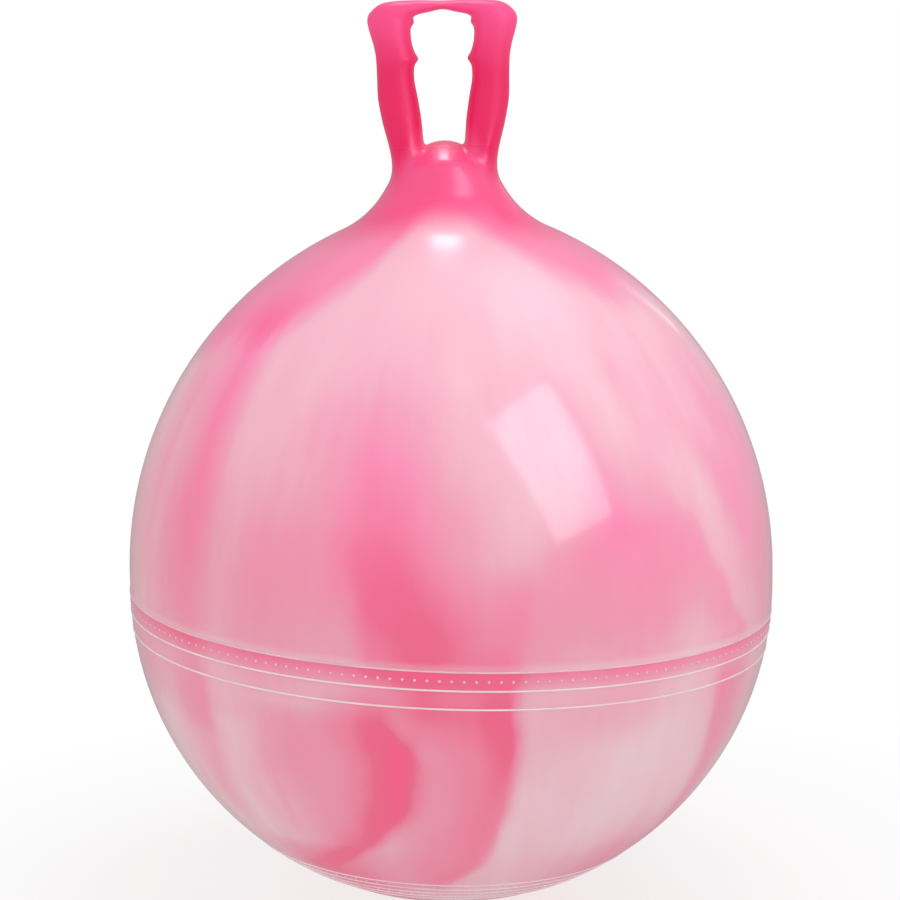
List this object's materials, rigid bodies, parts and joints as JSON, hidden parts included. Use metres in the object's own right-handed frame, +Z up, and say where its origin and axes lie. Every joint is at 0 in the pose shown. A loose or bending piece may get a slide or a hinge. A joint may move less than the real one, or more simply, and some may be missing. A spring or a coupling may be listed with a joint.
{
  "type": "hopper ball",
  "caption": "Inflatable vinyl hopper ball with a flared neck, a moulded loop handle, banded ribs and a pull-out valve plug underneath.",
  "frame": {"origin": "on the floor, under the ball's centre", "axes": "+Z up through the ball, neck and handle; +X across the loop handle from grip to grip; +Y through the loop"},
  "size_m": [0.4505, 0.4506, 0.6261],
  "materials": {
    "ball_vinyl": "gloss",
    "handle_vinyl": "satin",
    "seat_vinyl": "satin",
    "plug_plastic": "satin"
  },
  "bodies": {
    "ball": {"ball_skin": "ball_vinyl", "neck": "handle_vinyl", "handle": "handle_vinyl", "valve_seat": "seat_vinyl"},
    "plug": {"valve_plug": "plug_plastic"}
  },
  "joints": [
    {"name": "plug_pull", "type": "slide", "parent": "ball", "child": "plug", "axis": [0, 0, -1], "range_m": [0, 0.03]}
  ]
}
